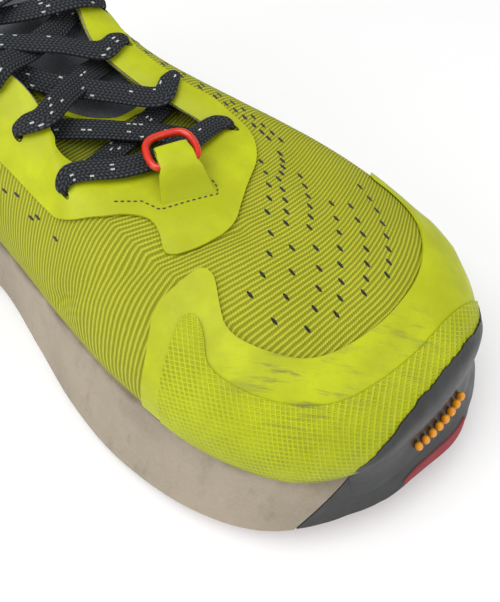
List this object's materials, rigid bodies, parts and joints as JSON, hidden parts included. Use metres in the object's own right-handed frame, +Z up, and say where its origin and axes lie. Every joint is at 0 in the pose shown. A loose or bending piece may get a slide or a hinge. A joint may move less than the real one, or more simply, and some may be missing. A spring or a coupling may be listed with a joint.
{
  "type": "running shoe",
  "caption": "Low-cut trail running shoe with a wide toe box, laced ribbed-mesh upper, thick foam midsole, lugged rubber outsole, toe bumper and a gaiter ring at the foot of the lacing",
  "frame": {"origin": "on the ground, under the middle of the shoe's overall length and width", "axes": "+X towards the toe, +Y towards the inner (big toe) side of the right foot, +Z up"},
  "size_m": [0.3, 0.1194, 0.1178],
  "materials": {
    "outsole_rubber": "matt red rubber",
    "midsole_foam": "matt taupe moulded foam",
    "bumper_rubber": "near-black satin rubber",
    "badge": "moulded orange-yellow",
    "board": "pressed non-woven board",
    "insole_fabric": "charcoal knit over foam",
    "mesh": "olive-lime ribbed mesh",
    "film": "bright lime welded film",
    "guard": "lime film embossed with a small grid",
    "lining": "dark padded lining",
    "tongue_fabric": "lime mesh with a charcoal strip",
    "lace": "charcoal flat braid with pale flecks",
    "aglet": "smooth black plastic",
    "ring": "bright red coated wire",
    "webbing": "dark woven webbing"
  },
  "bodies": {
    "shoe": {"outsole_heel": "outsole_rubber", "outsole_forefoot": "outsole_rubber", "midsole": "midsole_foam", "toe_bumper": "bumper_rubber", "toe_badge": "badge", "strobel_board": "board", "insole": "insole_fabric", "upper_mesh": "mesh", "toe_overlay": "film", "toe_guard": "guard", "toe_rand": "bumper_rubber", "eyestay": "film", "heel_wrap": "film", "quarter_band_inner": "film", "quarter_band_outer": "film", "heel_counter": "board", "toe_puff": "board", "collar_pad": "lining", "laces": "lace", "aglet_outer": "aglet", "aglet_inner": "aglet", "gaiter_tab": "film", "heel_loop": "webbing"},
    "tongue": {"tongue": "tongue_fabric"},
    "ring": {"gaiter_ring": "ring"}
  },
  "joints": [
    {"name": "tongue_hinge", "type": "hinge", "parent": "shoe", "child": "tongue", "pos_m": [0.0585, 0.0011, 0.0635], "axis": [0, -1, 0], "range_deg": [0, 4]},
    {"name": "ring_hinge", "type": "hinge", "parent": "shoe", "child": "ring", "pos_m": [0.0495, -0.00086, 0.08212], "axis": [0.45, 0.893, 0], "range_deg": [0, 45]}
  ]
}
